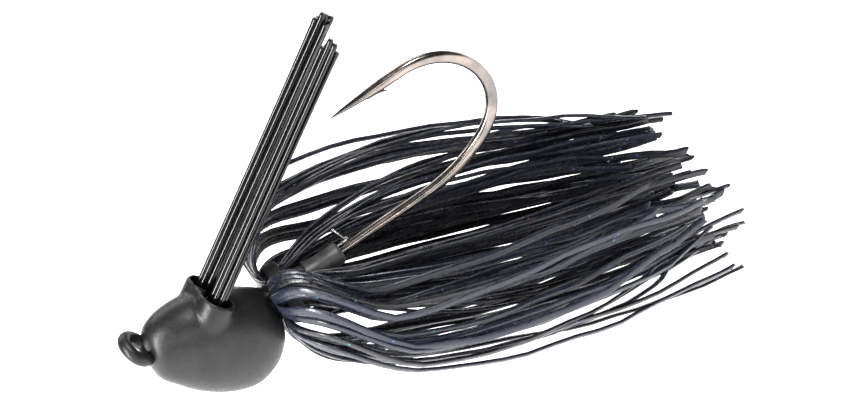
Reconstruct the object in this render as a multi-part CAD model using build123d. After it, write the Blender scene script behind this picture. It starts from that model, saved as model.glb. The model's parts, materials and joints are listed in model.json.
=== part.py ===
from build123d import *
import math
import os

# Bass jig: a moulded head on a bent-eye hook, with a twin fibre weed guard, a trailer keeper and a
# folded silicone skirt.  Millimetres.  +X runs from nose to tail along the hook's shank, +Z runs
# towards the hook's point, and the origin is the centre of the line eye.

# ---- driving dimensions ----
SHANK_Z = -5.7            # height of the hook's shank below the line eye
WIRE_R = 0.7              # hook wire
EYE_RING_R = 1.9          # centre line of the eye's ring
EYE_WIRE_R = 0.8          # ring wire with its coat
EYE_BORE_R = 1.2          # clear hole for the line
EYE_LEG_ANGLE = 60.0      # leg's rise from the shank
EYE_TWIST = -14.0         # the ring is turned this much about its leg
EYE_BEND_R = 2.4

BEND_START_X = 40.9       # end of the straight shank
BEND_ARCS = ((19.2, 30.0), (8.0, 60.0), (9.0, 90.0))   # radius and turn, shank to point side
POINT_LENGTH = 7.0
POINT_STRAIGHT = 3.4      # round wire between the bend and the ground point
POINT_TIP_R = 0.06
BARB_LIFT = 0.6
BARB_LENGTH = 2.1
BARB_WIDTH = 0.5
BARB_SINK = 0.35          # depth of its root in the point
BARB_HEEL = 0.25

# Head stations from nose to neck: x, height of centre, half width, half height.
HEAD_STATIONS = (
    (0.4, -4.1, 1.2, 1.3),
    (1.6, -3.4, 2.8, 3.9),
    (4.6, -4.7, 4.3, 6.6),
    (8.2, -6.0, 5.2, 8.0),
    (12.0, -6.9, 5.0, 7.9),
    (14.4, -7.2, 4.4, 6.0),
    (16.7, -6.9, 3.2, 3.9),
)
NECK_R = 1.9
NECK_START_X = 15.5
NECK_END_X = 21.0

GUARD_ANGLE = 39.5        # rise of the weed guard from the shank
SOCKET_MOUTH = (11.7, 0.8)   # x and z of the mouth's centre
SOCKET_SPACING = 3.9      # between the two socket holes
SOCKET_R = 2.0
SOCKET_WALL = 0.45
SOCKET_DEPTH = 4.6
SOCKET_CUT_ABOVE = 6.0    # the holes are cut this far beyond the mouth
GLUE_R = 1.85
GLUE_THICKNESS = 2.5
PIVOT_DEPTH = 1.3         # the bristles flex from here, below the mouth

BRISTLE_R = 0.36
BRISTLE_PITCH = 0.78      # six bristles round one in the middle
BRISTLE_TIP_R = 0.12
BRISTLE_REACH = {"left": 38.0, "right": 36.2}    # beyond the mouth
BRISTLE_TRIM = (0.0, -0.5, 0.35, -0.25, 0.5, -0.7, 0.15)    # uneven cut of the seven ends

KEEPER_CONES = ((21.15, 1.95), (22.95, 1.8))    # shoulder x and radius of each barb
KEEPER_CONE_LENGTH = 1.7
KEEPER_CONE_SINK = 0.05         # its small end lies this far under the sleeve's surface
KEEPER_R = 1.5
KEEPER_START_X = 21.1
KEEPER_END_X = 28.1
KEEPER_CHAMFER = 0.35
KEEPER_WIRE_R = 0.17
KEEPER_WIRE_OFFSET = 1.05    # above the shank's axis
KEEPER_WIRE_ROOT_X = 25.2
KEEPER_WIRE_TURN_X = 30.2
KEEPER_WIRE_TIP = (28.5, 3.7)
KEEPER_WIRE_BEND_R = 0.6

BAND_X = 19.4
BAND_WIDTH = 2.0
BAND_INNER_R = 3.25
BAND_OUTER_R = 3.95
BAND_EDGE_R = 0.3

STRAND_WIDTH = 0.8
STRAND_THICKNESS = 0.45
SKIRT_OPENING = 50.0      # half angle left free above the shank for the guard and the hook
SKIRT_DROOP_X = 22.0
SKIRT_DROOP = 0.36        # fall per millimetre behind that place
KEEL_HALF_ANGLE = 40.0    # strands within this angle of straight down belong to the keel group
# Each strip of the skirt is held at its middle by the band.  Its rear half and its front half are
# separate solids that meet there, and the front half folds back over the band.  A layer is a path of
# x and distance from the shank's axis.
SKIRT_LAYERS = {
    "rear_inner": ((18.35, 2.2), (21.8, 2.35), (28.0, 4.1), (44.0, 5.6), (67.0, 4.6)),
    "rear_outer": ((18.35, 2.8), (21.6, 3.05), (28.0, 6.6), (44.0, 9.4), (69.0, 8.2)),
    "front_inner": ((18.1, 2.8), (17.75, 4.6), (21.5, 8.0), (29.0, 12.0), (45.0, 13.6), (70.0, 10.9)),
    "front_outer": ((18.1, 2.2), (17.35, 2.45), (17.15, 5.6), (20.2, 10.2), (27.5, 16.2), (42.0, 18.0),
                    (57.0, 15.6), (68.0, 13.2)),
}
STRAND_SLOTS = 11.5       # steps between strands round one layer; neighbouring layers are staggered
# Number of strands in each layer, and the place of its first strand in steps.
STRAND_LAYOUT = {
    "rear_inner": (11, 0.75),
    "rear_outer": (12, 0.25),
    "front_inner": (12, 0.25),
    "front_outer": (11, 0.75),
}

os.makedirs("parts", exist_ok=True)


def unit(angle):
    """Direction in the XZ plane, rising from +X."""
    return Vector(math.cos(math.radians(angle)), 0, math.sin(math.radians(angle)))


def save(name, shape):
    shape.label = name
    export_step(shape, f"parts/{name}.step")


LEG_DIRECTION = unit(180.0 - EYE_LEG_ANGLE)
EYE_NORMAL = Vector(-math.sin(math.radians(EYE_LEG_ANGLE)), 0, -math.cos(math.radians(EYE_LEG_ANGLE)))
EYE_AXIS = EYE_NORMAL.rotate(Axis((0, 0, 0), LEG_DIRECTION), EYE_TWIST)
EYE_PLANE = Plane(origin=(0, 0, 0), x_dir=LEG_DIRECTION, z_dir=EYE_AXIS)
GUARD_DIRECTION = unit(GUARD_ANGLE)
MOUTH = Vector(SOCKET_MOUTH[0], 0, SOCKET_MOUTH[1])


# ---- hook: eye, leg, shank, bend and point from one wire ----
def hook_line():
    leg_top = LEG_DIRECTION * -EYE_RING_R
    corner_x = SHANK_Z / math.tan(math.radians(180.0 - EYE_LEG_ANGLE))
    tangent = EYE_BEND_R * math.tan(math.radians(EYE_LEG_ANGLE / 2))
    corner = Vector(corner_x, 0, SHANK_Z)
    leg_end = corner + LEG_DIRECTION * tangent
    edges = [Edge.make_line(leg_top, leg_end)]
    place = leg_end
    heading = -EYE_LEG_ANGLE
    runs = [("arc", EYE_BEND_R, EYE_LEG_ANGLE), ("line", BEND_START_X - corner_x - tangent, 0)]
    runs += [("arc", radius, turn) for radius, turn in BEND_ARCS]
    runs += [("line", POINT_STRAIGHT, 0)]
    for kind, size, turn in runs:
        if kind == "line":
            end = place + unit(heading) * size
            edges.append(Edge.make_line(place, end))
        else:
            centre = place + unit(heading + 90) * size
            middle = centre + unit(heading + turn / 2 - 90) * size
            end = centre + unit(heading + turn - 90) * size
            edges.append(Edge.make_three_point_arc(place, middle, end))
            heading += turn
        place = end
    return edges, place


def make_eye_ring():
    return EYE_PLANE * Torus(EYE_RING_R, EYE_WIRE_R)


def make_hook_wire():
    """The round wire as it is before the point, the barb and the eye's ring are added."""
    edges, _ = hook_line()
    path = Wire(edges)
    start_plane = Plane(origin=path @ 0, z_dir=path % 0)
    return sweep(start_plane * Circle(WIRE_R), path=path)


def make_hook(wire):
    _, end = hook_line()
    point = Plane(origin=end, z_dir=(-1, 0, 0)) * Cone(
        WIRE_R, POINT_TIP_R, POINT_LENGTH, align=(Align.CENTER, Align.CENTER, Align.MIN)
    )
    barb_root = end.X + WIRE_R
    inner_side = end.Z - WIRE_R
    barb_outline = Polyline(
        (barb_root - BARB_LENGTH, 0, inner_side + BARB_SINK),
        (barb_root, 0, inner_side - BARB_LIFT),
        (barb_root - BARB_HEEL, 0, inner_side + BARB_SINK),
        close=True,
    )
    barb = extrude(make_face(barb_outline), BARB_WIDTH / 2, dir=(0, 1, 0), both=True)
    hole = EYE_PLANE * Cylinder(EYE_BORE_R, 4 * EYE_WIRE_R)
    return wire + point + barb + make_eye_ring() - hole


# ---- head: body, neck and raised twin socket ----
def across(offset, depth):
    """A plane square to the guard, at a depth below the socket's mouth."""
    origin = MOUTH + Vector(0, offset, 0) - GUARD_DIRECTION * depth
    return Plane(origin=origin, x_dir=(0, 1, 0), z_dir=GUARD_DIRECTION)


def along_guard(radius, offset, depth, length):
    return across(offset, depth) * Cylinder(
        radius, length, align=(Align.CENTER, Align.CENTER, Align.MIN)
    )


def make_head(wire):
    rings = []
    for x, z, half_width, half_height in HEAD_STATIONS:
        station = Plane(origin=(x, 0, z), x_dir=(0, 1, 0), z_dir=(1, 0, 0))
        rings.append(station * Ellipse(half_width, half_height))
    body = loft(rings)
    neck = Plane(origin=(NECK_START_X, 0, SHANK_Z), z_dir=(1, 0, 0)) * Cylinder(
        NECK_R, NECK_END_X - NECK_START_X, align=(Align.CENTER, Align.CENTER, Align.MIN)
    )
    head = body + neck
    offset = SOCKET_SPACING / 2
    boss_r = SOCKET_R + SOCKET_WALL
    bosses = along_guard(boss_r, offset, SOCKET_DEPTH, SOCKET_DEPTH)
    bosses += along_guard(boss_r, -offset, SOCKET_DEPTH, SOCKET_DEPTH)
    holes = along_guard(SOCKET_R, offset, SOCKET_DEPTH, SOCKET_DEPTH + SOCKET_CUT_ABOVE)
    holes += along_guard(SOCKET_R, -offset, SOCKET_DEPTH, SOCKET_DEPTH + SOCKET_CUT_ABOVE)
    head = head + bosses - holes
    return head - wire - make_eye_ring()


# ---- trailer keeper on the shank ----
def make_keeper_wire():
    z = SHANK_Z + KEEPER_WIRE_OFFSET
    path = FilletPolyline(
        (KEEPER_WIRE_ROOT_X, 0, z),
        (KEEPER_WIRE_TURN_X, 0, z),
        (KEEPER_WIRE_TIP[0], 0, SHANK_Z + KEEPER_WIRE_TIP[1]),
        radius=KEEPER_WIRE_BEND_R,
    )
    start = Plane(origin=path @ 0, z_dir=path % 0)
    return sweep(start * Circle(KEEPER_WIRE_R), path=path)


def make_keeper(wire, keeper_wire):
    on_shank = Plane(origin=(0, 0, SHANK_Z), x_dir=(0, 1, 0), z_dir=(1, 0, 0))
    length = KEEPER_END_X - KEEPER_START_X
    sleeve = on_shank.offset(KEEPER_START_X) * Cylinder(
        KEEPER_R, length, align=(Align.CENTER, Align.CENTER, Align.MIN)
    )
    tail_edges = sleeve.edges().filter_by(GeomType.CIRCLE).sort_by(Axis.X)[-1:]
    sleeve = chamfer(tail_edges, KEEPER_CHAMFER)
    for shoulder_x, shoulder_r in KEEPER_CONES:
        sleeve += on_shank.offset(shoulder_x) * Cone(
            shoulder_r,
            KEEPER_R - KEEPER_CONE_SINK,
            KEEPER_CONE_LENGTH,
            align=(Align.CENTER, Align.CENTER, Align.MIN),
        )
    return sleeve - wire - keeper_wire


# ---- skirt: band and folded strands ----
def make_band():
    plane = Plane(origin=(BAND_X - BAND_WIDTH / 2, 0, SHANK_Z), z_dir=(1, 0, 0))
    outer = plane * Cylinder(BAND_OUTER_R, BAND_WIDTH, align=(Align.CENTER, Align.CENTER, Align.MIN))
    outer = fillet(outer.edges().filter_by(GeomType.CIRCLE), BAND_EDGE_R)
    inner = plane * Cylinder(BAND_INNER_R, BAND_WIDTH, align=(Align.CENTER, Align.CENTER, Align.MIN))
    return outer - inner


def skirt_place(x, distance, azimuth):
    droop = SKIRT_DROOP * max(0.0, x - SKIRT_DROOP_X)
    turn = math.radians(azimuth)
    return Vector(x, distance * math.sin(turn), SHANK_Z + distance * math.cos(turn) - droop)


def corner_radii(points):
    """The largest arc that each corner's two runs leave room for."""
    radii = []
    for before, corner, after in zip(points, points[1:], points[2:]):
        run_in = corner - before
        run_out = after - corner
        half_turn = math.radians(run_in.get_angle(run_out)) / 2
        radii.append(0.45 * min(run_in.length, run_out.length) / math.tan(half_turn))
    return radii


def make_strand(layer, azimuth):
    points = [skirt_place(x, distance, azimuth) for x, distance in SKIRT_LAYERS[layer]]
    path = FilletPolyline(*points, radius=corner_radii(points))
    turn = math.radians(azimuth)
    tangential = Vector(0, math.cos(turn), -math.sin(turn))
    start = Plane(origin=path @ 0, x_dir=tangential, z_dir=path % 0)
    return sweep(start * Rectangle(STRAND_WIDTH, STRAND_THICKNESS), path=path)


def skirt_side(azimuth):
    if azimuth < 180 - KEEL_HALF_ANGLE:
        return "left"
    if azimuth > 180 + KEEL_HALF_ANGLE:
        return "right"
    return "keel"


def make_skirt():
    groups = {}
    step = (360 - 2 * SKIRT_OPENING) / STRAND_SLOTS
    for layer, (count, first) in STRAND_LAYOUT.items():
        for index in range(count):
            azimuth = SKIRT_OPENING + (first + index) * step
            name = f"skirt_{layer}_{skirt_side(azimuth)}"
            groups.setdefault(name, []).append(make_strand(layer, azimuth))
    return groups


# ---- weed guard ----
def make_bristle(side_name, offset, index):
    lateral = Vector(0, 0, 0)
    if index > 0:
        turn = math.radians(60 * index)
        square_up = Vector(-GUARD_DIRECTION.Z, 0, GUARD_DIRECTION.X)
        lateral = Vector(0, math.cos(turn), 0) * BRISTLE_PITCH + square_up * (math.sin(turn) * BRISTLE_PITCH)
    length = PIVOT_DEPTH + BRISTLE_REACH[side_name] + BRISTLE_TRIM[index]
    plane = across(offset, PIVOT_DEPTH)
    plane.origin = plane.origin + lateral
    bristle = plane * Cylinder(BRISTLE_R, length, align=(Align.CENTER, Align.CENTER, Align.MIN))
    tip = bristle.edges().filter_by(GeomType.CIRCLE).sort_by(Axis.Z)[-1:]
    return fillet(tip, BRISTLE_TIP_R)


wire = make_hook_wire()
keeper_wire = make_keeper_wire()
save("hook", make_hook(wire))
save("head", make_head(wire))
save("keeper_wire", keeper_wire)
save("trailer_keeper", make_keeper(wire, keeper_wire))
save("skirt_band", make_band())
for name, strands in make_skirt().items():
    save(name, Compound(children=strands))
for side_name, side in (("left", 1), ("right", -1)):
    offset = side * SOCKET_SPACING / 2
    save(f"guard_glue_{side_name}", along_guard(GLUE_R, offset, SOCKET_DEPTH, GLUE_THICKNESS))
    for index in range(7):
        save(f"guard_bristle_{side_name}_{index + 1}", make_bristle(side_name, offset, index))
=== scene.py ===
import json
import math

import bmesh
import bpy
import numpy as np
from mathutils import Matrix, Vector


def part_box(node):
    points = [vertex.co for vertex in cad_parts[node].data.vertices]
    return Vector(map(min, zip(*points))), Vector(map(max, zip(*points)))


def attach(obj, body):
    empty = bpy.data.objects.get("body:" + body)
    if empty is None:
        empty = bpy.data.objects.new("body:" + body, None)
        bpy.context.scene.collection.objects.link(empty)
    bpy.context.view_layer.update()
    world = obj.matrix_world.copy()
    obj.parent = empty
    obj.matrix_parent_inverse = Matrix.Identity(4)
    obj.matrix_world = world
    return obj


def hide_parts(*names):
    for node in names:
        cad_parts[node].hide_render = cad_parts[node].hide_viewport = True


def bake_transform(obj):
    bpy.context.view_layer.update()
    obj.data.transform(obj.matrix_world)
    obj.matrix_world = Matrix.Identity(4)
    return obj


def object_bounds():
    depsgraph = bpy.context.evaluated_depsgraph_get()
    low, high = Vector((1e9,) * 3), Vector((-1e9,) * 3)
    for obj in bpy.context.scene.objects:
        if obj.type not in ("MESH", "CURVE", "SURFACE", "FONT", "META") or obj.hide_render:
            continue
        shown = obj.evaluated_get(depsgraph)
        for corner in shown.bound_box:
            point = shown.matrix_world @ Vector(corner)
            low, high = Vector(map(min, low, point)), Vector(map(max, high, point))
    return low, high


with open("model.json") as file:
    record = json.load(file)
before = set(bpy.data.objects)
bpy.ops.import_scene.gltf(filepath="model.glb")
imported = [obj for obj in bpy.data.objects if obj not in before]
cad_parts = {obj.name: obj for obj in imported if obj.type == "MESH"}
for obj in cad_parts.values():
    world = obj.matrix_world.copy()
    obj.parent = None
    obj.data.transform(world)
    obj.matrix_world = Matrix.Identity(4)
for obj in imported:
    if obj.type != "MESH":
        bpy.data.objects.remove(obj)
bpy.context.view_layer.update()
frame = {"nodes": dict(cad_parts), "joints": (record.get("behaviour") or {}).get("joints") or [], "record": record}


# ---------------------------------------------------------------------------------------------
# Hook: one length of high-carbon wire, bent, forged flat on its sides round the bend, ground to
# a needle point with a cut barb, and plated black nickel.  Its eye is bent up to sixty degrees
# and takes the same baked coat as the head that is cast round its leg.
# ---------------------------------------------------------------------------------------------
MM = 0.001
HOOK_WIRE = 0.70             # radius of the round wire, millimetres
HOOK_FORGED = (0.80, 0.56)   # half sizes of the forged bend: in the hook's plane, and across it
EYE_LEG_ANGLE = math.radians(60)
EYE_RING = (1.88, 0.85)      # radius of the ring's centre line, and of its coated wire
EYE_BEND = 2.4
BEND_ARCS = ((19.2, 30), (8.0, 60), (9.0, 90))
SHANK_END = 40.9             # x where the shank's straight run ends
POINT_RUN = 10.4             # from the bend to the tip
POINT_TAPER = 7.4
keeper_low, keeper_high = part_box("trailer_keeper")
SHANK_Z = (keeper_low.z + keeper_high.z) / 2 / MM


def heading(degrees):
    """A direction in the hook's plane, rising from +X."""
    return Vector((math.cos(math.radians(degrees)), 0, math.sin(math.radians(degrees))))


def hook_line(spacing=0.22):
    """Places and headings along the wire, from the eye's ring to the tip."""
    leg_degrees = math.degrees(EYE_LEG_ANGLE)
    corner_x = -SHANK_Z / math.tan(EYE_LEG_ANGLE)
    leg = corner_x / math.cos(EYE_LEG_ANGLE) - EYE_RING[0]
    tangent = EYE_BEND * math.tan(EYE_LEG_ANGLE / 2)
    runs = [(leg - tangent, 0, 0), (0, EYE_BEND, leg_degrees)]
    runs += [(SHANK_END - corner_x - tangent, 0, 0)]
    runs += [(0, radius, turn) for radius, turn in BEND_ARCS]
    runs += [(POINT_RUN, 0, 0)]
    place = heading(-leg_degrees) * EYE_RING[0]
    angle = -leg_degrees
    line = [(place.copy(), angle)]
    for length, radius, turn in runs:
        size = length or radius * math.radians(turn)
        steps = max(2, round(size / spacing))
        for _ in range(steps):
            step_turn = turn / steps
            place = place + heading(angle + step_turn / 2) * (size / steps)
            angle += step_turn
            line.append((place.copy(), angle))
    return line


def ring_tube(bm, rings, closed_loop=False):
    """Joins rings of points into a tube, with a pole at each open end."""
    loops = [[bm.verts.new(point) for point in ring] for ring in rings]
    pairs = list(zip(loops, loops[1:]))
    if closed_loop:
        pairs.append((loops[-1], loops[0]))
    for first, second in pairs:
        for i in range(len(first)):
            j = (i + 1) % len(first)
            bm.faces.new((first[i], first[j], second[j], second[i]))
    if not closed_loop:
        for loop in (loops[0], loops[-1]):
            middle = bm.verts.new(sum((v.co for v in loop), Vector()) / len(loop))
            for i in range(len(loop)):
                bm.faces.new((loop[i], loop[(i + 1) % len(loop)], middle))


def to_object(bm, name, materials, smooth=True):
    """Closes off a mesh worked in millimetres as an object in the frame's metres."""
    bmesh.ops.recalc_face_normals(bm, faces=bm.faces)
    bmesh.ops.scale(bm, vec=(MM, MM, MM), verts=bm.verts)
    mesh = bpy.data.meshes.new(name)
    bm.to_mesh(mesh)
    bm.free()
    for material in materials:
        mesh.materials.append(material)
    mesh.shade_smooth() if smooth else mesh.shade_flat()
    piece = bpy.data.objects.new(name, mesh)
    bpy.context.scene.collection.objects.link(piece)
    return piece


def new_material(name, colour, roughness, metallic=0.0, specular=0.5):
    """A principled material and its shader, with the values that are the same all over."""
    material = bpy.data.materials.new(name)
    material.use_nodes = True
    shader = material.node_tree.nodes["Principled BSDF"]
    shader.inputs["Base Color"].default_value = (*colour, 1)
    shader.inputs["Roughness"].default_value = roughness
    shader.inputs["Metallic"].default_value = metallic
    shader.inputs["Specular IOR Level"].default_value = specular
    return material, shader


def add_noise(material, scale, detail=3.0, stretch=(1, 1, 1)):
    """Noise in the piece's own metres; stretch under 1 draws it out along an axis."""
    nodes, links = material.node_tree.nodes, material.node_tree.links
    coordinates = nodes.new("ShaderNodeTexCoord")
    mapping = nodes.new("ShaderNodeMapping")
    mapping.inputs["Scale"].default_value = stretch
    noise = nodes.new("ShaderNodeTexNoise")
    noise.inputs["Scale"].default_value = scale
    noise.inputs["Detail"].default_value = detail
    links.new(coordinates.outputs["Object"], mapping.inputs["Vector"])
    links.new(mapping.outputs["Vector"], noise.inputs["Vector"])
    return noise.outputs["Fac"]


def spread(material, factor, low, high, socket, middle=(0.35, 0.65)):
    """Turns a 0 to 1 pattern into a number or a colour between two values on a shader socket."""
    nodes, links = material.node_tree.nodes, material.node_tree.links
    if isinstance(low, tuple):
        ramp = nodes.new("ShaderNodeValToRGB")
        ramp.color_ramp.elements[0].position, ramp.color_ramp.elements[1].position = middle
        ramp.color_ramp.elements[0].color = (*low, 1)
        ramp.color_ramp.elements[1].color = (*high, 1)
        links.new(factor, ramp.inputs["Fac"])
        links.new(ramp.outputs["Color"], socket)
        return
    span = nodes.new("ShaderNodeMapRange")
    span.inputs["From Min"].default_value, span.inputs["From Max"].default_value = middle
    span.inputs["To Min"].default_value = low
    span.inputs["To Max"].default_value = high
    links.new(factor, span.inputs["Value"])
    links.new(span.outputs["Result"], socket)


def add_bump(material, shader, factor, depth, strength=1.0):
    nodes, links = material.node_tree.nodes, material.node_tree.links
    bump = nodes.new("ShaderNodeBump")
    bump.inputs["Strength"].default_value = strength
    bump.inputs["Distance"].default_value = depth
    links.new(factor, bump.inputs["Height"])
    links.new(bump.outputs["Normal"], shader.inputs["Normal"])


def baked_coat():
    """Matt charcoal powder coat: fine orange peel, with slightly lighter rubbed places."""
    material, shader = new_material("baked_charcoal_coat", (0.01, 0.01, 0.01), 0.38, specular=0.34)
    spread(material, add_noise(material, 420), (0.007, 0.0072, 0.0076), (0.012, 0.0122, 0.0128),
           shader.inputs["Base Color"])
    spread(material, add_noise(material, 2600), 0.32, 0.44, shader.inputs["Roughness"])
    add_bump(material, shader, add_noise(material, 5200, detail=5.0), 0.00004, 0.7)
    return material


def black_nickel():
    """Smoked bright plating, with fine draw marks along the wire and a warm tone that varies at random over it."""
    material, shader = new_material("black_nickel", (0.30, 0.27, 0.25), 0.2, metallic=1.0)
    spread(material, add_noise(material, 260), (0.15, 0.145, 0.145), (0.34, 0.29, 0.26),
           shader.inputs["Base Color"])
    spread(material, add_noise(material, 3000, stretch=(0.12, 1, 1)), 0.14, 0.27,
           shader.inputs["Roughness"])
    add_bump(material, shader, add_noise(material, 5200, stretch=(0.1, 1, 1)), 0.000006, 0.4)
    return material


def make_hook(coat, plating):
    bm = bmesh.new()
    line = hook_line()
    gaps = [(b[0] - a[0]).length for a, b in zip(line, line[1:])]
    to_tip = np.concatenate([np.cumsum(gaps[::-1])[::-1], [0.0]])
    bend_length = sum(radius * math.radians(turn) for radius, turn in BEND_ARCS)
    bend_middle = POINT_RUN + bend_length * 0.45
    sides = 24
    rings = []
    for (place, angle), left in zip(line, to_tip):
        forged = max(0.0, 1 - abs(left - bend_middle) / (bend_length * 0.62)) ** 0.5
        in_plane = HOOK_WIRE + (HOOK_FORGED[0] - HOOK_WIRE) * forged
        across = HOOK_WIRE + (HOOK_FORGED[1] - HOOK_WIRE) * forged
        taper = min(1.0, left / POINT_TAPER) ** 0.62
        squareness = 1 - 0.35 * forged
        normal = heading(angle + 90)
        ring = []
        for i in range(sides):
            turn = 2 * math.pi * i / sides
            c, s = math.cos(turn), math.sin(turn)
            c = math.copysign(abs(c) ** squareness, c)
            s = math.copysign(abs(s) ** squareness, s)
            size = max(taper, 0.035)
            ring.append(place + normal * (in_plane * size * c) + Vector((0, across * size * s, 0)))
        rings.append(ring)
    ring_tube(bm, rings)
    for face in bm.faces:
        face.material_index = 1

    # The barb is a sliver lifted from the inner side of the point.
    tip = line[-1][0]
    barb_tip = tip + Vector((8.1, 0, -1.5))
    outline = []
    for share in np.linspace(0, 1, 9):
        root = tip + Vector((5.2 + 2.2 * share, 0, -0.42 - 0.18 * share))
        place = root.lerp(barb_tip, share ** 1.6 * 0.999)
        thick = 0.30 * (1 - share) ** 0.7 + 0.02
        ring = []
        for i in range(10):
            turn = 2 * math.pi * i / 10
            offset = Vector((0.25 * math.sin(turn), 1.1 * math.cos(turn), math.sin(turn))) * thick
            ring.append(place + offset)
        outline.append(ring)
    first = len(bm.faces)
    ring_tube(bm, outline)
    bm.faces.ensure_lookup_table()
    for face in bm.faces[first:]:
        face.material_index = 1

    # The eye's ring: its wire end closes against the leg, so the coat pools in the crevice.
    leg = heading(180 - math.degrees(EYE_LEG_ANGLE))
    bore = frame["record"]["mounts"][0]
    axis = Vector(bore["axis"]).normalized()
    sideways = axis.cross(leg).normalized()
    rings = []
    for i in range(72):
        turn = 2 * math.pi * i / 72
        out = leg * -math.cos(turn) + sideways * math.sin(turn)
        pooled = 1 + 0.10 * math.exp(-((min(i, 72 - i) / 6.0) ** 2))
        pinched = 1 - 0.10 * math.exp(-(((i - 7) / 2.2) ** 2))
        wire = EYE_RING[1] * pooled * pinched
        rings.append([
            out * (EYE_RING[0] + wire * math.cos(a)) + axis * (wire * math.sin(a))
            for a in np.linspace(0, 2 * math.pi, 28, endpoint=False)
        ])
    ring_tube(bm, rings, closed_loop=True)
    return to_object(bm, "hook_and_eye", [coat, plating])


coat = baked_coat()
hook = make_hook(coat, black_nickel())
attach(hook, "jig")
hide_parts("hook")


# ---------------------------------------------------------------------------------------------
# Head: lead alloy cast round the hook's leg, with flat cheeks, a keel, a raised spout of two
# round sockets for the weed guard and a neck for the skirt.  The whole casting is powder coated.
# ---------------------------------------------------------------------------------------------
# From nose to neck: x, height of the widest line, half width, height above it, depth below it.
HEAD_STATIONS = (
    (0.30, -3.9, 0.3, 0.3, 0.3),
    (0.42, -3.9, 1.4, 1.5, 1.4),
    (0.9, -3.6, 2.4, 3.0, 2.8),
    (1.8, -3.4, 3.2, 4.6, 4.3),
    (3.2, -4.0, 3.9, 6.0, 5.8),
    (5.2, -4.8, 4.6, 7.1, 7.2),
    (7.8, -5.8, 5.1, 7.9, 8.1),
    (10.4, -6.5, 5.2, 7.9, 8.4),
    (12.6, -7.0, 4.9, 6.6, 7.6),
    (14.4, -7.3, 4.5, 5.7, 6.3),
    (15.9, -7.2, 3.8, 4.3, 4.8),
    (16.7, -7.0, 3.1, 3.5, 3.7),
    (17.1, -6.7, 2.4, 2.8, 2.7),
    (17.2, -6.4, 1.6, 1.9, 1.9),
)
NECK = (1.9, 15.5, 21.0)         # radius, first and last x
SOCKET = (2.0, 0.45, 4.6)        # hole radius, wall, depth
left_pivot = Vector(frame["joints"][0]["pos_m"]) / MM
GUARD_ANGLE = math.radians(39.5)
guard_direction = Vector((math.cos(GUARD_ANGLE), 0, math.sin(GUARD_ANGLE)))
PIVOT_DEPTH = 1.3
mouth = left_pivot + guard_direction * PIVOT_DEPTH     # centre of the left socket's mouth
SOCKET_Y = mouth.y


def smooth_stations(stations, steps):
    """Passes a smooth curve through each column of a table of stations."""
    table = np.array(stations)
    chords = np.linalg.norm(np.diff(table, axis=0), axis=1) ** 0.5
    at = np.concatenate([[0], np.cumsum(chords)])
    slopes = np.gradient(table, at, axis=0)
    fine = np.linspace(0, at[-1], steps)
    out = []
    for t in fine:
        k = min(len(at) - 2, int(np.searchsorted(at, t, side="right")) - 1)
        h = at[k + 1] - at[k]
        u = (t - at[k]) / h
        out.append((2 * u**3 - 3 * u**2 + 1) * table[k] + (u**3 - 2 * u**2 + u) * h * slopes[k]
                   + (3 * u**2 - 2 * u**3) * table[k + 1] + (u**3 - u**2) * h * slopes[k + 1])
    return out


def rod(bm, start, direction, radius, length, sides=64):
    """A closed round bar from a point along a direction."""
    square = direction.orthogonal().normalized()
    other = direction.cross(square)
    rings = []
    for along in (0, length):
        rings.append([
            start + direction * along + (square * math.cos(a) + other * math.sin(a)) * radius
            for a in np.linspace(0, 2 * math.pi, sides, endpoint=False)
        ])
    ring_tube(bm, rings)


def keep_result(piece):
    """Makes what a piece's modifier gives its plain mesh, and takes the modifier off."""
    evaluated = piece.evaluated_get(bpy.context.evaluated_depsgraph_get())
    mesh = bpy.data.meshes.new_from_object(evaluated)
    piece.modifiers.clear()
    old, piece.data = piece.data, mesh
    mesh.name = piece.name
    bpy.data.meshes.remove(old)


def finish_modifier(piece, kind, **settings):
    """Adds a modifier and takes its result as the piece's mesh."""
    modifier = piece.modifiers.new("working", kind)
    for key, value in settings.items():
        setattr(modifier, key, value)
    keep_result(piece)


def working_object(bm, name):
    """A temporary object in millimetres, for modifiers."""
    bmesh.ops.recalc_face_normals(bm, faces=bm.faces)
    mesh = bpy.data.meshes.new(name)
    bm.to_mesh(mesh)
    bm.free()
    piece = bpy.data.objects.new(name, mesh)
    bpy.context.scene.collection.objects.link(piece)
    return piece


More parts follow.
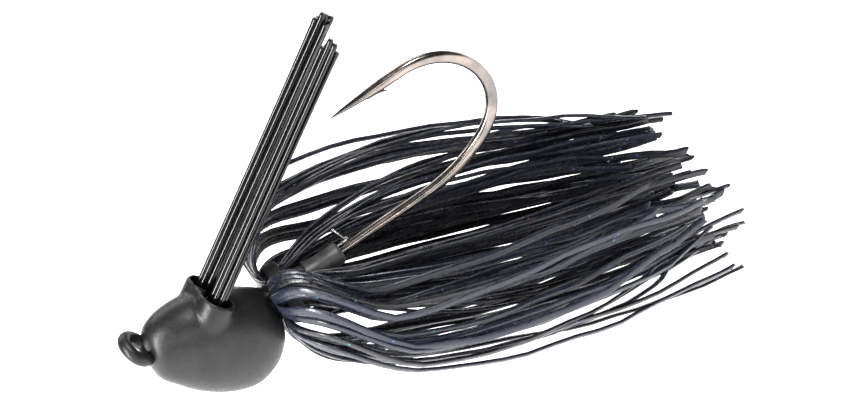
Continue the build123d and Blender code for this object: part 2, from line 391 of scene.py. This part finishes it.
def make_head(coat):
    bm = bmesh.new()
    rings = []
    for x, z, half_width, above, below in smooth_stations(HEAD_STATIONS, 90):
        ring = []
        for a in np.linspace(0, 2 * math.pi, 72, endpoint=False):
            c, s = math.cos(a), math.sin(a)
            squareness = 0.92 if s > 0 else 1.0
            y = math.copysign(abs(c) ** squareness, c) * half_width
            lift = math.copysign(abs(s) ** squareness, s) * (above if s > 0 else below)
            ring.append(Vector((x, y, z + lift)))
        rings.append(ring)
    ring_tube(bm, rings)
    head = working_object(bm, "head_casting")

    bm = bmesh.new()
    rod(bm, Vector((NECK[1], 0, SHANK_Z)), Vector((1, 0, 0)), NECK[0], NECK[2] - NECK[1])
    radius = SOCKET[0] + SOCKET[1]
    for y in (-SOCKET_Y, 0, SOCKET_Y):
        narrow = 0.9 if y == 0 else 1.0
        start = Vector((mouth.x, y, mouth.z)) - guard_direction * 7.0
        rod(bm, start, guard_direction, radius * narrow, 7.0)
    added = working_object(bm, "head_added")
    joined = bmesh.new()
    joined.from_mesh(head.data)
    joined.from_mesh(added.data)
    joined.to_mesh(head.data)
    joined.free()
    bpy.data.objects.remove(added)
    finish_modifier(head, "REMESH", mode="VOXEL", voxel_size=0.2)
    finish_modifier(head, "SMOOTH", factor=0.5, iterations=26)

    bm = bmesh.new()
    for y in (-SOCKET_Y, SOCKET_Y):
        start = Vector((mouth.x, y, mouth.z)) - guard_direction * SOCKET[2]
        rod(bm, start, guard_direction, SOCKET[0], SOCKET[2] + 5)
    cutter = working_object(bm, "socket_cutter")
    finish_modifier(cutter, "REMESH", mode="VOXEL", voxel_size=0.12)
    finish_modifier(head, "BOOLEAN", operation="DIFFERENCE", object=cutter, solver="EXACT")
    bpy.data.objects.remove(cutter)
    finish_modifier(head, "REMESH", mode="VOXEL", voxel_size=0.14)
    finish_modifier(head, "SMOOTH", factor=0.5, iterations=5)
    head.data.transform(Matrix.Scale(MM, 4))
    head.data.materials.clear()
    head.data.materials.append(coat)
    head.data.shade_smooth()
    return head


head = make_head(coat)
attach(head, "jig")
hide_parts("head")


# ---------------------------------------------------------------------------------------------
# Weed guard: two bundles of seven glossy black nylon fibres, set in epoxy at the bottom of the
# sockets.  They were cut to length with a hot blade, so their ends are uneven and a little
# rounded over.
# ---------------------------------------------------------------------------------------------
FIBRE = (0.37, 0.78)                     # radius and pitch
FIBRE_REACH = {"left": 38.0, "right": 36.2}    # beyond the mouth
FIBRE_ROOT = 3.6                         # depth of the fibres' start below the mouth
FIBRE_LEAN = 0.003                       # most that a fibre leans about each axis, in radians
GLUE_LEVEL = 2.1                         # depth of the glue's surface below the mouth


def value_input(tree, name, kind, default):
    socket = tree.interface.new_socket(name=name, in_out="INPUT", socket_type=kind)
    if default is not None:
        socket.default_value = default
    return socket.identifier


def new_tree(name, inputs):
    """A geometry tree with a geometry input and output, and the named inputs given."""
    tree = bpy.data.node_groups.new(name, "GeometryNodeTree")
    tree.interface.new_socket(name="Geometry", in_out="INPUT", socket_type="NodeSocketGeometry")
    identifiers = {key: value_input(tree, key, kind, value) for key, (kind, value) in inputs.items()}
    tree.interface.new_socket(name="Geometry", in_out="OUTPUT", socket_type="NodeSocketGeometry")
    return tree, identifiers, tree.nodes.new("NodeGroupInput"), tree.nodes.new("NodeGroupOutput")


def add_node(tree, kind, settings=None, **sockets):
    """Adds a node and fills its sockets, given by name or as i and a number, with values or links."""
    node = tree.nodes.new(kind)
    for key, value in (settings or {}).items():
        setattr(node, key, value)
    for key, value in sockets.items():
        socket = node.inputs[int(key[1:]) if key[1:].isdigit() else key.replace("_", " ")]
        if isinstance(value, bpy.types.NodeSocket):
            tree.links.new(value, socket)
        else:
            socket.default_value = value
    return node


def apply_tree(piece, tree, identifiers, values):
    """Runs a geometry tree on a piece and keeps its result as a plain mesh."""
    modifier = piece.modifiers.new("geometry", "NODES")
    modifier.node_group = tree
    for key, value in values.items():
        modifier[identifiers[key]] = value
    bpy.context.view_layer.update()
    keep_result(piece)
    piece.data.shade_smooth()
    return piece


def fibre_tree():
    """Sets a fibre on each root point: straight, a little uneven, and rounded over at its end."""
    tree, ids, given, result = new_tree("guard_fibres", {
        "Fibre radius": ("NodeSocketFloat", FIBRE[0] * MM),
        "Length": ("NodeSocketFloat", 0.04),
        "Uneven": ("NodeSocketFloat", 0.0007),
        "Direction": ("NodeSocketVector", (1, 0, 0)),
        "Seed": ("NodeSocketInt", 1),
        "Material": ("NodeSocketMaterial", None),
    })
    line = add_node(tree, "GeometryNodeCurvePrimitiveLine")
    tree.links.new(given.outputs["Direction"], line.inputs["End"])
    fine = add_node(tree, "GeometryNodeResampleCurve", Curve=line.outputs["Curve"], Count=170)
    uneven = add_node(tree, "FunctionNodeRandomValue", {"data_type": "FLOAT"}, i2=-1.0, i3=1.0,
                      Seed=given.outputs["Seed"])
    change = add_node(tree, "ShaderNodeMath", {"operation": "MULTIPLY_ADD"},
                      i0=uneven.outputs[1], i1=given.outputs["Uneven"], i2=given.outputs["Length"])
    size = add_node(tree, "ShaderNodeCombineXYZ", X=change.outputs[0], Y=change.outputs[0],
                    Z=change.outputs[0])
    lean = add_node(tree, "FunctionNodeRandomValue", {"data_type": "FLOAT_VECTOR"},
                    i0=(-FIBRE_LEAN,) * 3, i1=(FIBRE_LEAN,) * 3, Seed=given.outputs["Seed"])
    placed = add_node(tree, "GeometryNodeInstanceOnPoints", Points=given.outputs["Geometry"],
                      Instance=fine.outputs["Curve"], Rotation=lean.outputs[0], Scale=size.outputs[0])
    real = add_node(tree, "GeometryNodeRealizeInstances", Geometry=placed.outputs["Instances"])
    along = add_node(tree, "GeometryNodeSplineParameter")
    bead = add_node(tree, "ShaderNodeFloatCurve", Value=along.outputs["Factor"])
    curve = bead.mapping.curves[0]
    for point, place in zip(curve.points, ((0.0, 0.88), (1.0, 0.72))):
        point.location = place
    for place in ((0.972, 0.88), (0.984, 0.99), (0.993, 0.98)):
        curve.points.new(*place)
    bead.mapping.update()
    radius = add_node(tree, "ShaderNodeMath", {"operation": "MULTIPLY"},
                      i0=bead.outputs[0], i1=given.outputs["Fibre radius"])
    circle = add_node(tree, "GeometryNodeCurvePrimitiveCircle", Resolution=14, Radius=1.12)
    tube = add_node(tree, "GeometryNodeCurveToMesh", Curve=real.outputs["Geometry"],
                    Profile_Curve=circle.outputs["Curve"], Scale=radius.outputs[0], Fill_Caps=True)
    flat = add_node(tree, "GeometryNodeRealizeInstances", Geometry=tube.outputs["Mesh"])
    dressed = add_node(tree, "GeometryNodeSetMaterial", Geometry=flat.outputs["Geometry"],
                       Material=given.outputs["Material"])
    tree.links.new(dressed.outputs["Geometry"], result.inputs["Geometry"])
    return tree, ids


def nylon():
    """Extruded black nylon: very glossy, with faint die lines along the fibre."""
    material, shader = new_material("black_nylon", (0.004, 0.004, 0.005), 0.1, specular=0.5)
    spread(material, add_noise(material, 700), (0.0025, 0.0025, 0.003), (0.006, 0.006, 0.007),
           shader.inputs["Base Color"])
    spread(material, add_noise(material, 1500), 0.06, 0.13, shader.inputs["Roughness"])
    add_bump(material, shader, add_noise(material, 3500, detail=1.0), 0.000004, 0.15)
    return material


def epoxy():
    """Cured adhesive: dark, glossy and uneven where it wets the fibres."""
    material, shader = new_material("dark_epoxy", (0.012, 0.012, 0.012), 0.22)
    add_bump(material, shader, add_noise(material, 900), 0.0001, 0.6)
    return material


def make_bundle(side, y, tree, ids, material, seed):
    middle = Vector((mouth.x, y, mouth.z))
    upward = Vector((-guard_direction.z, 0, guard_direction.x))
    roots = bpy.data.meshes.new("roots")
    places = [middle - guard_direction * FIBRE_ROOT]
    for k in range(6):
        a = math.radians(60 * k + 60)
        shift = (Vector((0, math.cos(a), 0)) + upward * math.sin(a)) * FIBRE[1]
        places.append(places[0] + shift)
    roots.from_pydata([place * MM for place in places], [], [])
    bundle = bpy.data.objects.new(f"guard_fibres_{side}", roots)
    bpy.context.scene.collection.objects.link(bundle)
    values = {
        "Fibre radius": FIBRE[0] * MM,
        "Length": (FIBRE_ROOT + FIBRE_REACH[side]) * MM,
        "Uneven": 0.8 * MM,
        "Direction": tuple(guard_direction),
        "Seed": seed,
        "Material": material,
    }
    return apply_tree(bundle, tree, ids, values)


def make_glue(side, y, material):
    """A pool that fills one socket's bottom, with a meniscus at the wall."""
    bm = bmesh.new()
    bottom = Vector((mouth.x, y, mouth.z)) - guard_direction * (SOCKET[2] - 0.05)
    upward = Vector((-guard_direction.z, 0, guard_direction.x))
    depth = SOCKET[2] - 0.05 - GLUE_LEVEL
    rings = []
    for radius, height in ((1.8, 0), (1.9, 0.1), (1.9, depth + 0.35), (1.8, depth + 0.3),
                           (1.55, depth + 0.08), (1.2, depth), (0.4, depth + 0.02)):
        ring = []
        for a in np.linspace(0, 2 * math.pi, 40, endpoint=False):
            across = Vector((0, math.cos(a), 0)) + upward * math.sin(a)
            ring.append(bottom + guard_direction * height + across * radius)
        rings.append(ring)
    ring_tube(bm, rings)
    return to_object(bm, f"guard_epoxy_{side}", [material])


tree, ids = fibre_tree()
fibre_material, glue_material = nylon(), epoxy()
for side, y, seed in (("left", SOCKET_Y, 4), ("right", -SOCKET_Y, 9)):
    bundle = make_bundle(side, y, tree, ids, fibre_material, seed)
    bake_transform(bundle)
    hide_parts(*[f"guard_bristle_{side}_{k}" for k in range(1, 8)])
    glue = make_glue(side, y, glue_material)
    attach(glue, "jig")
    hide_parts(f"guard_glue_{side}")


# ---------------------------------------------------------------------------------------------
# Trailer keeper: a moulded sleeve pressed on the shank behind the neck, with two barbs that face
# the head.  A fine spring wire runs out from under its tail and stands off the shank.
# ---------------------------------------------------------------------------------------------
# Outline of the sleeve: x and radius.
KEEPER_OUTLINE = ((21.1, 1.30), (21.1, 1.86), (21.2, 1.96), (21.32, 1.95), (22.75, 1.46), (22.9, 1.46),
                  (22.95, 1.72), (23.03, 1.81), (23.15, 1.79), (24.6, 1.48), (25.0, 1.5), (27.5, 1.5),
                  (27.72, 1.46), (28.06, 1.14), (28.1, 1.06), (28.1, 0.72))
KEEPER_WIRE = 0.17


def lathe(bm, outline, z, sides=48):
    """Turns an outline of x and radius about the shank."""
    rings = []
    for x, radius in outline:
        rings.append([
            Vector((x, radius * math.cos(a), z + radius * math.sin(a)))
            for a in np.linspace(0, 2 * math.pi, sides, endpoint=False)
        ])
    ring_tube(bm, rings)


def moulded_sleeve():
    """Satin black plastic, with patches of a warmer brown that vary at random over it."""
    material, shader = new_material("moulded_black", (0.035, 0.035, 0.037), 0.42)
    spread(material, add_noise(material, 900), (0.028, 0.028, 0.03), (0.06, 0.055, 0.052),
           shader.inputs["Base Color"])
    add_bump(material, shader, add_noise(material, 5000), 0.00002, 0.4)
    return material


def spring_wire():
    """Bright drawn stainless wire."""
    material, shader = new_material("bright_wire", (0.7, 0.69, 0.67), 0.2, metallic=1.0)
    spread(material, add_noise(material, 4000, stretch=(0.15, 1, 1)), 0.14, 0.3,
           shader.inputs["Roughness"])
    return material


def make_keeper_wire(material):
    low, high = (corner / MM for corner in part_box("keeper_wire"))
    bottom = low.z + KEEPER_WIRE
    tip = Vector((28.5, 0, high.z - KEEPER_WIRE * 0.6))
    turn = Vector((high.x - 0.55, 0, bottom))
    radius = 0.5
    rise = (tip - turn).normalized()
    line = [Vector((low.x, 0, bottom)), turn + Vector((-radius, 0, 0))]
    for share in np.linspace(0.1, 0.9, 9):
        start, end = turn + Vector((-radius, 0, 0)), turn + rise * radius
        bulge = turn + Vector((0.75, 0, 0.05))
        line.append(start * (1 - share) ** 2 + bulge * 2 * share * (1 - share) + end * share**2)
    line += [turn + rise * radius, tip]
    bm = bmesh.new()
    rings = []
    for k, place in enumerate(line):
        ahead = line[min(k + 1, len(line) - 1)] - line[max(k - 1, 0)]
        normal = Vector((-ahead.z, 0, ahead.x)).normalized()
        wire = KEEPER_WIRE * (0.75 if k == len(line) - 1 else 1)
        rings.append([
            place + (normal * math.cos(a) + Vector((0, math.sin(a), 0))) * wire
            for a in np.linspace(0, 2 * math.pi, 16, endpoint=False)
        ])
    ring_tube(bm, rings)
    return to_object(bm, "keeper_spike", [material])


bm = bmesh.new()
lathe(bm, KEEPER_OUTLINE, SHANK_Z)
keeper = to_object(bm, "keeper_sleeve", [moulded_sleeve()])
keeper.data.set_sharp_from_angle(angle=math.radians(40))
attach(keeper, "jig")
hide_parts("trailer_keeper")
spike = make_keeper_wire(spring_wire())
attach(spike, "jig")
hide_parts("keeper_wire")


# ---------------------------------------------------------------------------------------------
# Skirt: flat strips of blue-black silicone with fine metal flake, laid round the neck and gripped
# at their middle by a rubber band.  The rear halves run back along the hook; the front halves
# fold over in front of the band and fall back outside them.
# ---------------------------------------------------------------------------------------------
STRIP = (0.98, 0.42)             # width and thickness
STRIP_STEPS = 46                 # points along each strip
STRIP_EDGE_R = 0.09              # the strip's long edges are rounded by this much
DROOP = (20.0, 0.48, 9.0)        # where the skirt starts to fall, its slope, and how softly it starts
# Routes of the halves as x and distance from the shank, for the innermost and outermost strips.
FRONT_ROUTES = (
    ((18.3, 2.8), (17.8, 3.6), (17.9, 5.4), (20.4, 8.6),
     (28.0, 10.6), (41.0, 10.6), (56.0, 8.8), (72.0, 6.0)),
    ((18.3, 2.5), (17.4, 3.2), (17.1, 6.4), (19.0, 11.6),
     (26.4, 17.2), (41.0, 18.6), (57.0, 15.4), (72.0, 10.6)),
)
REAR_ROUTES = (
    ((18.4, 2.25), (20.2, 2.25), (22.2, 2.4), (27.5, 3.4),
     (36.0, 4.4), (46.0, 4.6), (58.0, 4.2), (71.0, 3.4)),
    ((18.4, 2.8), (20.0, 2.8), (21.8, 3.5), (26.5, 6.8),
     (35.0, 10.2), (46.0, 11.2), (58.0, 9.8), (74.0, 7.4)),
)
# Each half: name, number of strips, routes, openings and seed.  An opening is the angle from straight
# up to the first strip on the left and on the right: one pair at the band, and one behind it.
SKIRT_HALVES = (
    ("front", 58, FRONT_ROUTES, ((4.0, 30.0), (38.0, 76.0)), 21),
    ("rear", 46, REAR_ROUTES, ((10.0, 30.0), (34.0, 72.0)), 33),
)
BAND = (3.1, 3.9)                # inner and outer radius of the rubber band
BAND_ROUNDING = 0.6              # 1 makes the band's section an oval, and 0 a rectangle


def spline_through(points, steps):
    """A uniform cubic B-spline that starts and ends at the end points."""
    points = np.array([points[0]] * 2 + list(points) + [points[-1]] * 2, float)
    spans = len(points) - 3
    out = []
    for t in np.linspace(0, spans - 1e-9, steps):
        k = int(t)
        u = t - k
        weights = np.array([
            (1 - u) ** 3, 3 * u**3 - 6 * u**2 + 4, -3 * u**3 + 3 * u**2 + 3 * u + 1, u**3]) / 6
        out.append(weights @ points[k:k + 4])
    return np.array(out)


def fall(x):
    """How far the skirt has dropped at a place along the shank."""
    start, slope, softness = DROOP
    past = np.maximum(0.0, x - start)
    return slope * past * past / (past + softness)


def strip_routes(count, routes, openings, seed):
    """Points and outward directions along each strip, in millimetres."""
    rng = np.random.default_rng(seed)
    inner, outer = (np.array(route) for route in routes)
    along = np.linspace(0, 1, STRIP_STEPS)
    strips = []
    for k in range(count):
        share = (k + 0.5 + rng.uniform(-0.45, 0.45)) / count
        at_band, behind = (
            left + (360 - left - right) * share for left, right in openings
        )
        layer = rng.uniform(0, 1) ** 0.75
        if min(share, 1 - share) < 0.06:
            layer *= 0.3
        route = inner + (outer - inner) * layer
        loose = np.linspace(0.3, 2.2, len(route) - 2)[:, None]
        route[2:] += rng.normal(0, 0.5, route[2:].shape) * loose
        route[-1, 0] += rng.uniform(-9.0, 2.0)
        above = math.cos(math.radians(behind))
        path = spline_through(route, STRIP_STEPS)
        back = np.clip((path[:, 0] - 18) / 11, 0, 1)
        back = back * back * (3 - 2 * back)
        wander = rng.normal(0, 9.0) * along**1.4
        wander += rng.normal(0, 3.0) * np.sin(along * math.pi * rng.uniform(1, 2.4))
        turn = np.radians(at_band + (behind - at_band + wander) * back)
        drop = fall(path[:, 0]) * (1 - 0.14 * above + rng.normal(0, 0.07))
        places = np.stack([
            path[:, 0], path[:, 1] * np.sin(turn), SHANK_Z + path[:, 1] * np.cos(turn) - drop], 1)
        run = np.gradient(path, axis=0)
        run /= np.linalg.norm(run, axis=1)[:, None]
        facing = np.stack([-run[:, 1], run[:, 0] * np.sin(turn), run[:, 0] * np.cos(turn)], 1)
        strips.append((places, facing, rng.normal(0, 0.3), rng.uniform(0, 1)))
    return strips


def strip_tree():
    """Draws a flat strip along each route, turned a little about itself on its way to the tip."""
    tree, ids, given, result = new_tree("skirt_strips", {
        "Strip width": ("NodeSocketFloat", STRIP[0] * MM),
        "Strip thickness": ("NodeSocketFloat", STRIP[1] * MM),
        "Wave": ("NodeSocketFloat", 0.0005),
        "Seed": ("NodeSocketInt", 3),
        "Material": ("NodeSocketMaterial", None),
    })
    curves = add_node(tree, "GeometryNodeMeshToCurve", Mesh=given.outputs["Geometry"])
    along = add_node(tree, "GeometryNodeSplineParameter")
    place = add_node(tree, "GeometryNodeInputPosition")
    tint = add_node(tree, "GeometryNodeInputNamedAttribute", {"data_type": "FLOAT"}, Name="tint")
    apart = add_node(tree, "ShaderNodeMath", {"operation": "MULTIPLY_ADD"},
                     i0=tint.outputs[0], i1=37.0, i2=given.outputs["Seed"])
    wave = add_node(tree, "ShaderNodeTexNoise", {"noise_dimensions": "4D"},
                    Vector=place.outputs[0], W=apart.outputs[0], Scale=95.0, Detail=1.0)
    centred = add_node(tree, "ShaderNodeVectorMath", {"operation": "SUBTRACT"},
                       i0=wave.outputs["Color"], i1=(0.5, 0.5, 0.5))
    reach = add_node(tree, "ShaderNodeMath", {"operation": "MULTIPLY"},
                     i0=along.outputs["Factor"], i1=given.outputs["Wave"])
    offset = add_node(tree, "ShaderNodeVectorMath", {"operation": "SCALE"},
                      Vector=centred.outputs[0], Scale=reach.outputs[0])
    waved = add_node(tree, "GeometryNodeSetPosition", Geometry=curves.outputs["Curve"],
                     Offset=offset.outputs[0])
    facing = add_node(tree, "GeometryNodeInputNamedAttribute", {"data_type": "FLOAT_VECTOR"},
                      Name="facing")
    turned = add_node(tree, "GeometryNodeSetCurveNormal", {"mode": "FREE"},
                      Curve=waved.outputs["Geometry"], Normal=facing.outputs[0])
    roll = add_node(tree, "GeometryNodeInputNamedAttribute", {"data_type": "FLOAT"}, Name="roll")
    tilt = add_node(tree, "ShaderNodeMath", {"operation": "MULTIPLY"},
                    i0=roll.outputs[0], i1=along.outputs["Factor"])
    tilted = add_node(tree, "GeometryNodeSetCurveTilt", Curve=turned.outputs["Curve"],
                      Tilt=tilt.outputs[0])
    outline = add_node(tree, "GeometryNodeCurvePrimitiveQuadrilateral",
                       Width=given.outputs["Strip thickness"], Height=given.outputs["Strip width"])
    eased = add_node(tree, "GeometryNodeFilletCurve", Curve=outline.outputs["Curve"],
                     Radius=STRIP_EDGE_R * MM)
    tube = add_node(tree, "GeometryNodeCurveToMesh", Curve=tilted.outputs["Curve"],
                    Profile_Curve=eased.outputs["Curve"], Fill_Caps=True)
    real = add_node(tree, "GeometryNodeRealizeInstances", Geometry=tube.outputs["Mesh"])
    dressed = add_node(tree, "GeometryNodeSetMaterial", Geometry=real.outputs["Geometry"],
                       Material=given.outputs["Material"])
    tree.links.new(dressed.outputs["Geometry"], result.inputs["Geometry"])
    return tree, ids


def silicone():
    """Blue-black silicone with a soft sheen, lengthwise streaks and sparse metal flake."""
    material, shader = new_material("skirt_silicone", (0.007, 0.009, 0.016), 0.28, specular=0.5)
    nodes, links = material.node_tree.nodes, material.node_tree.links
    mixed = nodes.new("ShaderNodeMix")
    mixed.data_type = "RGBA"
    tint = nodes.new("ShaderNodeAttribute")
    tint.attribute_name = "tint"
    spread(material, tint.outputs["Fac"], (0.0025, 0.003, 0.0055), (0.011, 0.0135, 0.024),
           mixed.inputs["A"], middle=(0.0, 1.0))
    coordinates = nodes.new("ShaderNodeTexCoord")
    flake = nodes.new("ShaderNodeTexVoronoi")
    flake.inputs["Scale"].default_value = 1900
    links.new(coordinates.outputs["Object"], flake.inputs["Vector"])
    chosen = nodes.new("ShaderNodeSeparateColor")
    links.new(flake.outputs["Color"], chosen.inputs["Color"])
    rare = nodes.new("ShaderNodeMath")
    rare.operation = "GREATER_THAN"
    rare.inputs[1].default_value = 0.982
    links.new(chosen.outputs["Red"], rare.inputs[0])
    near = nodes.new("ShaderNodeMath")
    near.operation = "LESS_THAN"
    near.inputs[1].default_value = 0.3
    links.new(flake.outputs["Distance"], near.inputs[0])
    spot = nodes.new("ShaderNodeMath")
    spot.operation = "MULTIPLY"
    links.new(rare.outputs[0], spot.inputs[0])
    links.new(near.outputs[0], spot.inputs[1])
    hue = nodes.new("ShaderNodeValToRGB")
    hue.color_ramp.elements[0].color = (0.02, 0.16, 0.17, 1)
    hue.color_ramp.elements[1].color = (0.20, 0.05, 0.10, 1)
    middle = hue.color_ramp.elements.new(0.5)
    middle.color = (0.04, 0.09, 0.28, 1)
    links.new(chosen.outputs["Green"], hue.inputs["Fac"])
    links.new(spot.outputs[0], mixed.inputs["Factor"])
    links.new(hue.outputs["Color"], mixed.inputs["B"])
    links.new(mixed.outputs["Result"], shader.inputs["Base Color"])
    spread(material, add_noise(material, 2400, stretch=(0.08, 1, 1)), 0.2, 0.42,
           shader.inputs["Roughness"])
    add_bump(material, shader, add_noise(material, 1900, stretch=(0.04, 1, 1)), 0.00005, 0.3)
    return material


def make_skirt_half(name, count, routes, openings, seed, tree, ids, material):
    places, edges, facings, rolls, tints = [], [], [], [], []
    for strip_places, facing, roll, tint in strip_routes(count, routes, openings, seed):
        first = len(places)
        places.extend(strip_places * MM)
        edges.extend((first + k, first + k + 1) for k in range(STRIP_STEPS - 1))
        facings.extend(facing)
        rolls.extend([roll] * STRIP_STEPS)
        tints.extend([tint] * STRIP_STEPS)
    mesh = bpy.data.meshes.new("routes")
    mesh.from_pydata(places, edges, [])
    mesh.attributes.new("facing", "FLOAT_VECTOR", "POINT").data.foreach_set("vector", np.ravel(facings))
    mesh.attributes.new("roll", "FLOAT", "POINT").data.foreach_set("value", rolls)
    mesh.attributes.new("tint", "FLOAT", "POINT").data.foreach_set("value", tints)
    half = bpy.data.objects.new(f"skirt_{name}_strips", mesh)
    bpy.context.scene.collection.objects.link(half)
    values = {
        "Strip width": STRIP[0] * MM,
        "Strip thickness": STRIP[1] * MM,
        "Wave": 2.6 * MM,
        "Seed": seed,
        "Material": material,
    }
    return apply_tree(half, tree, ids, values)


def band_rubber():
    """Matt black rubber with a fine moulded grain."""
    material, shader = new_material("band_rubber", (0.014, 0.014, 0.015), 0.6)
    add_bump(material, shader, add_noise(material, 4200), 0.00003, 0.5)
    return material


def boxed(wave):
    """Pushes a sine or cosine outwards, which squares an oval up."""
    return math.copysign(abs(wave) ** BAND_ROUNDING, wave)


def make_band(material):
    """A ring round the neck, over the length that the frame gives the band."""
    bm = bmesh.new()
    band_low, band_high = (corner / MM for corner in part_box("skirt_band"))
    middle, half = (band_low.x + band_high.x) / 2, (band_high.x - band_low.x) / 2
    rings = []
    for a in np.linspace(0, 2 * math.pi, 96, endpoint=False):
        ring = []
        for b in np.linspace(0, 2 * math.pi, 20, endpoint=False):
            radius = (BAND[0] + BAND[1]) / 2 + boxed(math.cos(b)) * (BAND[1] - BAND[0]) / 2
            x = middle + boxed(math.sin(b)) * half
            ring.append(Vector((x, radius * math.cos(a), SHANK_Z + radius * math.sin(a))))
        rings.append(ring)
    ring_tube(bm, rings, closed_loop=True)
    return to_object(bm, "skirt_rubber_band", [material])


tree, ids = strip_tree()
skirt_material = silicone()
all_skirt_nodes = [node for node in frame["nodes"] if node.startswith(("skirt_front", "skirt_rear"))]
for name, count, routes, openings, seed in SKIRT_HALVES:
    half = make_skirt_half(name, count, routes, openings, seed, tree, ids, skirt_material)
    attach(half, "jig")
    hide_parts(*[node for node in all_skirt_nodes if node.startswith(f"skirt_{name}")])

band = make_band(band_rubber())
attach(band, "jig")
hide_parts("skirt_band")


# ---------------------------------------------------------------------------------------------
# Stage: a pale floor below the lowest strip, soft studio light and the camera.
# ---------------------------------------------------------------------------------------------
low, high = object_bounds()
FLOOR_GAP = 0.004
FLOOR_SIZE = 8.0
FLOOR_CENTRE_X = 0.03
bpy.ops.mesh.primitive_plane_add(size=FLOOR_SIZE)
floor = bpy.context.object
floor.name = "floor"
floor.data.transform(Matrix.Translation((FLOOR_CENTRE_X, 0, low.z - FLOOR_GAP)))
paper, paper_shader = new_material("pale_paper", (0.9, 0.9, 0.9), 0.9, specular=0.1)
paper_shader.inputs["Emission Color"].default_value = (1, 1, 1, 1)
paper_shader.inputs["Emission Strength"].default_value = 0.8
floor.data.materials.append(paper)

world = bpy.data.worlds.new("studio")
bpy.context.scene.world = world
world.use_nodes = True
world.node_tree.nodes["Background"].inputs["Color"].default_value = (1, 1, 1, 1)
world.node_tree.nodes["Background"].inputs["Strength"].default_value = 0.08
bpy.context.scene.view_settings.view_transform = "Standard"

target = Vector((0.0399, 0, -0.00695))


def soft_box(name, offset, size, power):
    """An area lamp that faces the jig."""
    lamp = bpy.data.lights.new(name, "AREA")
    lamp.shape = "RECTANGLE"
    lamp.size, lamp.size_y = size
    lamp.energy = power
    holder = bpy.data.objects.new(name, lamp)
    bpy.context.scene.collection.objects.link(holder)
    holder.location = target + Vector(offset)
    holder.rotation_mode = "QUATERNION"
    holder.rotation_quaternion = (-Vector(offset)).to_track_quat("-Z", "Y")


soft_box("key_light", (-0.42, -0.16, 0.24), (0.10, 0.50), 7.0)
soft_box("front_light", (-0.10, -0.48, 0.20), (0.40, 0.05), 0.8)
soft_box("top_light", (0.20, -0.08, 0.45), (0.30, 0.07), 2.6)
soft_box("back_light", (0.05, 0.45, 0.25), (0.50, 0.10), 1.2)

CAMERA_AZIMUTH = math.radians(-8)
CAMERA_ELEVATION = math.radians(40)
CAMERA_ROLL = math.radians(29.33)      # the shank climbs to the right
CAMERA_DISTANCE = 0.70
FRAME_WIDTH = 0.1056                   # width of the view at the jig
away = Vector((
    math.sin(CAMERA_AZIMUTH) * math.cos(CAMERA_ELEVATION),
    -math.cos(CAMERA_AZIMUTH) * math.cos(CAMERA_ELEVATION),
    math.sin(CAMERA_ELEVATION),
))
camera_data = bpy.data.cameras.new("camera")
camera_data.sensor_width = 36
camera_data.lens = 36 * CAMERA_DISTANCE / FRAME_WIDTH
camera_data.clip_start = 0.01
camera_data.clip_end = 20
camera = bpy.data.objects.new("camera", camera_data)
bpy.context.scene.collection.objects.link(camera)
camera.rotation_mode = "QUATERNION"
level = (-away).to_track_quat("-Z", "Y")
camera.rotation_quaternion = level @ Matrix.Rotation(-CAMERA_ROLL, 3, "Z").to_quaternion()
camera.location = target + away * CAMERA_DISTANCE
bpy.context.scene.camera = camera
